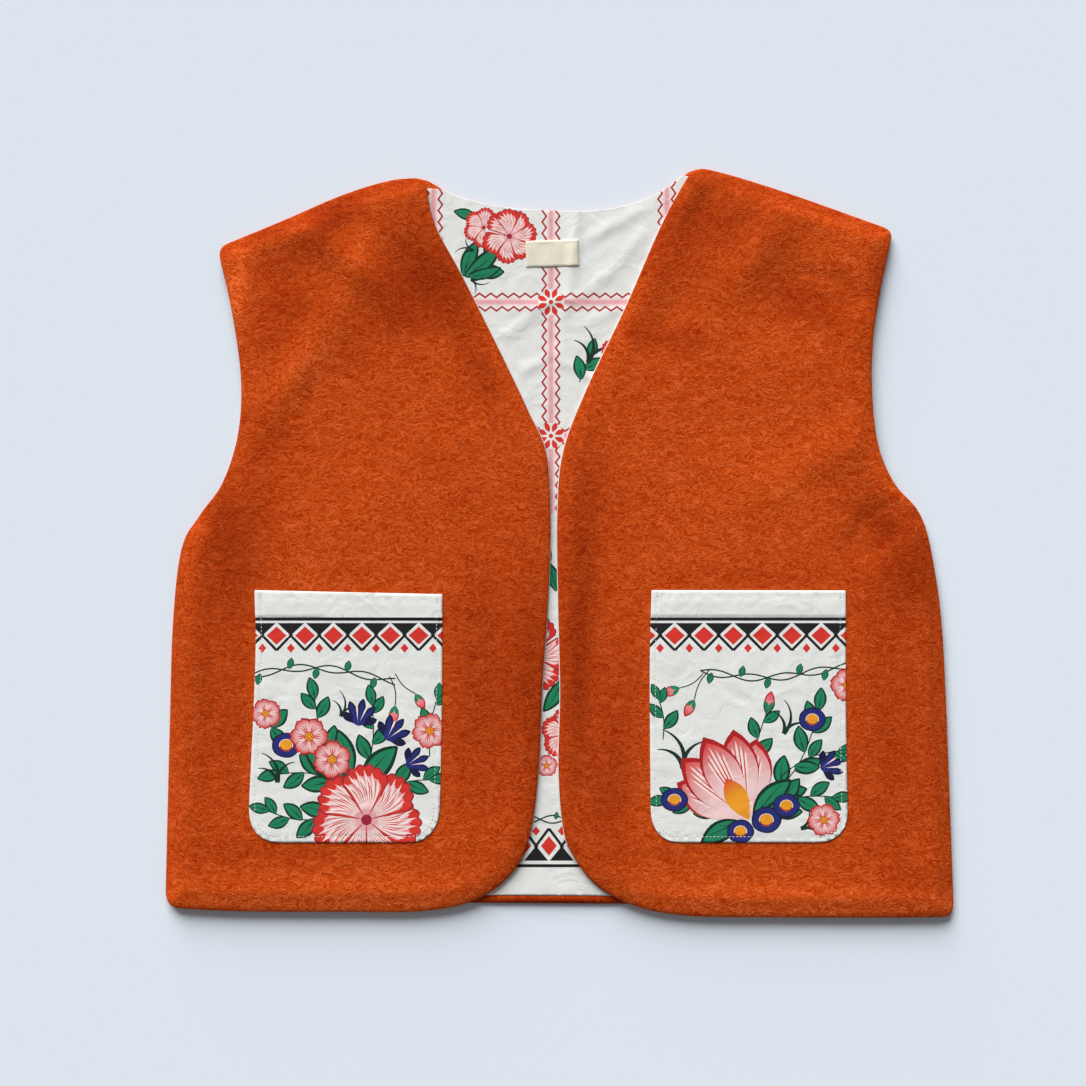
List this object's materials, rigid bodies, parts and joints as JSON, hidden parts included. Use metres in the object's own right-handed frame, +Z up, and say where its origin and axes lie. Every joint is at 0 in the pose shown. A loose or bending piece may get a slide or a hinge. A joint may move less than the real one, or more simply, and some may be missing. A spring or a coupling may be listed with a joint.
{
  "type": "wool waistcoat, laid flat",
  "caption": "Boxy sleeveless wool waistcoat, open down the front, with a printed cotton lining and printed patch pockets, laid flat with its front up.",
  "frame": {"origin": "on the table, under the middle of the laid-out garment", "axes": "+X to the wearer's left, +Y from the hem to the neck, +Z up out of the table"},
  "size_m": [0.5502, 0.523, 0.011],
  "materials": {
    "wool": "brushed boiled wool, matt with a short nap",
    "printed_cotton": "plain woven cotton, printed",
    "label_tape": "woven tape"
  },
  "bodies": {
    "root": {"back_shell": "wool", "back_lining": "printed_cotton", "neck_label": "label_tape", "front_lining_right": "printed_cotton", "front_lining_left": "printed_cotton", "front_shell_right": "wool", "front_shell_left": "wool", "pocket_right": "printed_cotton", "pocket_left": "printed_cotton"}
  },
  "joints": []
}
